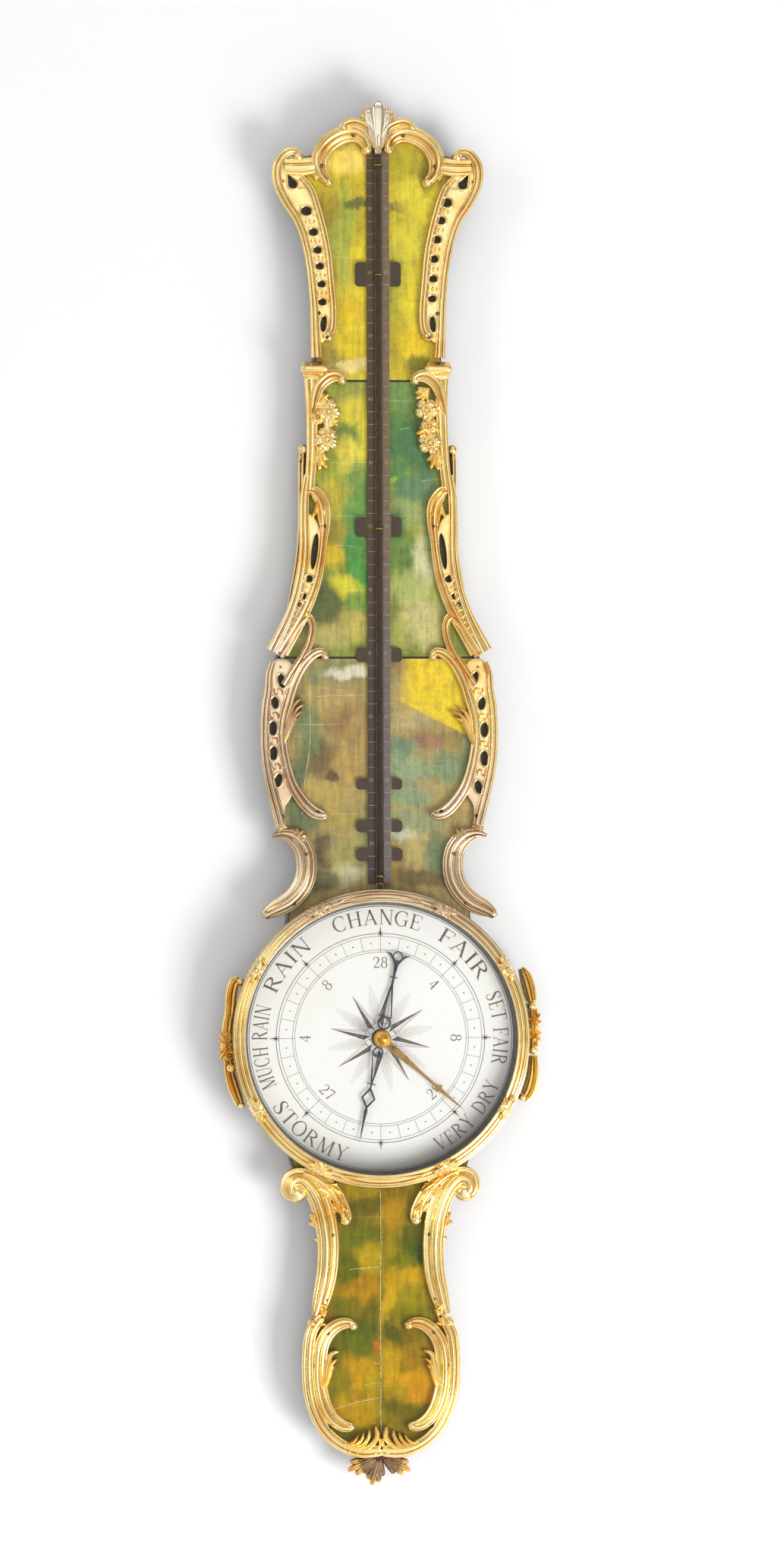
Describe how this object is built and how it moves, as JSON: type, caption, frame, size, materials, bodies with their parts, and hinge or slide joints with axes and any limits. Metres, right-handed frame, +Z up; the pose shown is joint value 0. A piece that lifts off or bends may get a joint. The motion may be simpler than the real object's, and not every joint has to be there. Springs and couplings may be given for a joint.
{
  "type": "wheel barometer with thermometer",
  "caption": "Rococo wall barometer: shaped case with stained horn panels and gilt bronze mounts, round glazed dial, siphon tube with float and pulley, and a central thermometer.",
  "frame": {"origin": "Centre of the hanging hole in the brass plate, on the back plane that lies against the wall.", "axes": "+Z up the case, +Y into the wall, +X to the right as the viewer faces the dial; the front faces -Y."},
  "size_m": [0.255, 0.0585, 1.1136],
  "materials": {
    "wood_dark": "ebonised hardwood, satin",
    "wood_plain": "unpolished softwood",
    "iron": "dark forged iron",
    "brass": "lacquered yellow brass",
    "horn_olive": "stained horn, olive yellow, polished",
    "horn_green": "stained horn, green, polished",
    "horn_tan": "stained horn, tan, polished",
    "horn_mustard": "stained horn, mustard, polished",
    "horn_dark_green": "stained horn, dark green, polished",
    "gilt_bronze": "mercury gilt cast bronze, matt and burnished",
    "pale_bronze": "worn gilt cast bronze, pale",
    "brown_bronze": "brown patinated cast bronze",
    "clear_glass": "clear glass",
    "dial_white": "white enamelled dial face",
    "blued_steel": "blued steel",
    "mercury": "liquid mercury",
    "thread": "silk thread",
    "cork": "plain wood saddles",
    "slate_paint": "grey brown painted plate",
    "spirit": "dark stained spirit"
  },
  "bodies": {
    "case": {"case_carcass": "wood_dark", "dial_drum": "wood_dark", "rear_cover": "wood_plain", "rear_screws": "iron", "hanging_plate": "brass", "horn_panel_top": "horn_olive", "horn_panel_middle": "horn_green", "horn_panel_belly": "horn_tan", "horn_panel_lower_left": "horn_mustard", "horn_panel_lower_right": "horn_dark_green", "crest_finial": "gilt_bronze", "crest_arm_left": "gilt_bronze", "crest_arm_right": "gilt_bronze", "shoulder_mount_left": "gilt_bronze", "shoulder_mount_right": "gilt_bronze", "flower_mount_left": "gilt_bronze", "flower_mount_right": "gilt_bronze", "belly_mount_left": "pale_bronze", "belly_mount_right": "pale_bronze", "cup_scroll_left": "pale_bronze", "cup_scroll_right": "pale_bronze", "side_moulding_left": "gilt_bronze", "side_moulding_right": "gilt_bronze", "dial_garland_left": "gilt_bronze", "dial_garland_right": "gilt_bronze", "lower_scroll_left": "gilt_bronze", "lower_scroll_right": "gilt_bronze", "lower_frame_left": "gilt_bronze", "lower_frame_right": "gilt_bronze", "tail_leaf": "brown_bronze", "mount_pins": "brass", "bezel_ring": "gilt_bronze", "dial_glass": "clear_glass", "glass_retaining_ring": "brass", "dial_plate": "dial_white", "dial_pins": "brass", "plate_screws": "iron", "arbor_bridge": "brass", "bridge_screws": "blued_steel", "knob_bush": "brass", "siphon_tube": "clear_glass", "mercury_column": "mercury", "tube_clips": "cork", "thermometer_plate": "slate_paint", "thermometer_tube": "clear_glass", "thermometer_spirit": "spirit", "tube_ties": "brass"},
    "index": {"index_hand": "blued_steel", "index_arbor": "blued_steel", "thread_pulley": "brass"},
    "float": {"float": "iron", "float_thread": "thread", "mercury_short_column": "mercury"},
    "counterweight": {"counterweight": "brass", "counterweight_thread": "thread", "mercury_long_column": "mercury"},
    "setting": {"set_hand": "brass", "set_knob": "brass"},
    "button_left": {"turn_button_left": "iron"},
    "button_right": {"turn_button_right": "iron"}
  },
  "joints": [
    {"name": "index_turn", "type": "hinge", "parent": "case", "child": "index", "pos_m": [0, 0, -0.692], "axis": [0, 1, 0], "range_deg": [-12, 318]},
    {"name": "float_rise", "type": "slide", "parent": "case", "child": "float", "axis": [0, 0, 1], "range_m": [-0.032, 0.0013], "deforming": ["float_thread", "mercury_short_column"]},
    {"name": "counterweight_rise", "type": "slide", "parent": "case", "child": "counterweight", "axis": [0, 0, 1], "range_m": [-0.0013, 0.032], "deforming": ["counterweight_thread", "mercury_long_column"]},
    {"name": "setting_turn", "type": "hinge", "parent": "case", "child": "setting", "pos_m": [0, 0, -0.692], "axis": [0, -1, 0], "continuous": true},
    {"name": "button_left_turn", "type": "hinge", "parent": "case", "child": "button_left", "pos_m": [-0.04165, 0, -0.084], "axis": [0, -1, 0], "continuous": true},
    {"name": "button_right_turn", "type": "hinge", "parent": "case", "child": "button_right", "pos_m": [0.04165, 0, -0.084], "axis": [0, -1, 0], "continuous": true}
  ],
  "couplings": [
    {"joint": "float_rise", "follows": "index_turn", "m_per_rad": -0.005745},
    {"joint": "counterweight_rise", "follows": "index_turn", "m_per_rad": 0.005745}
  ]
}
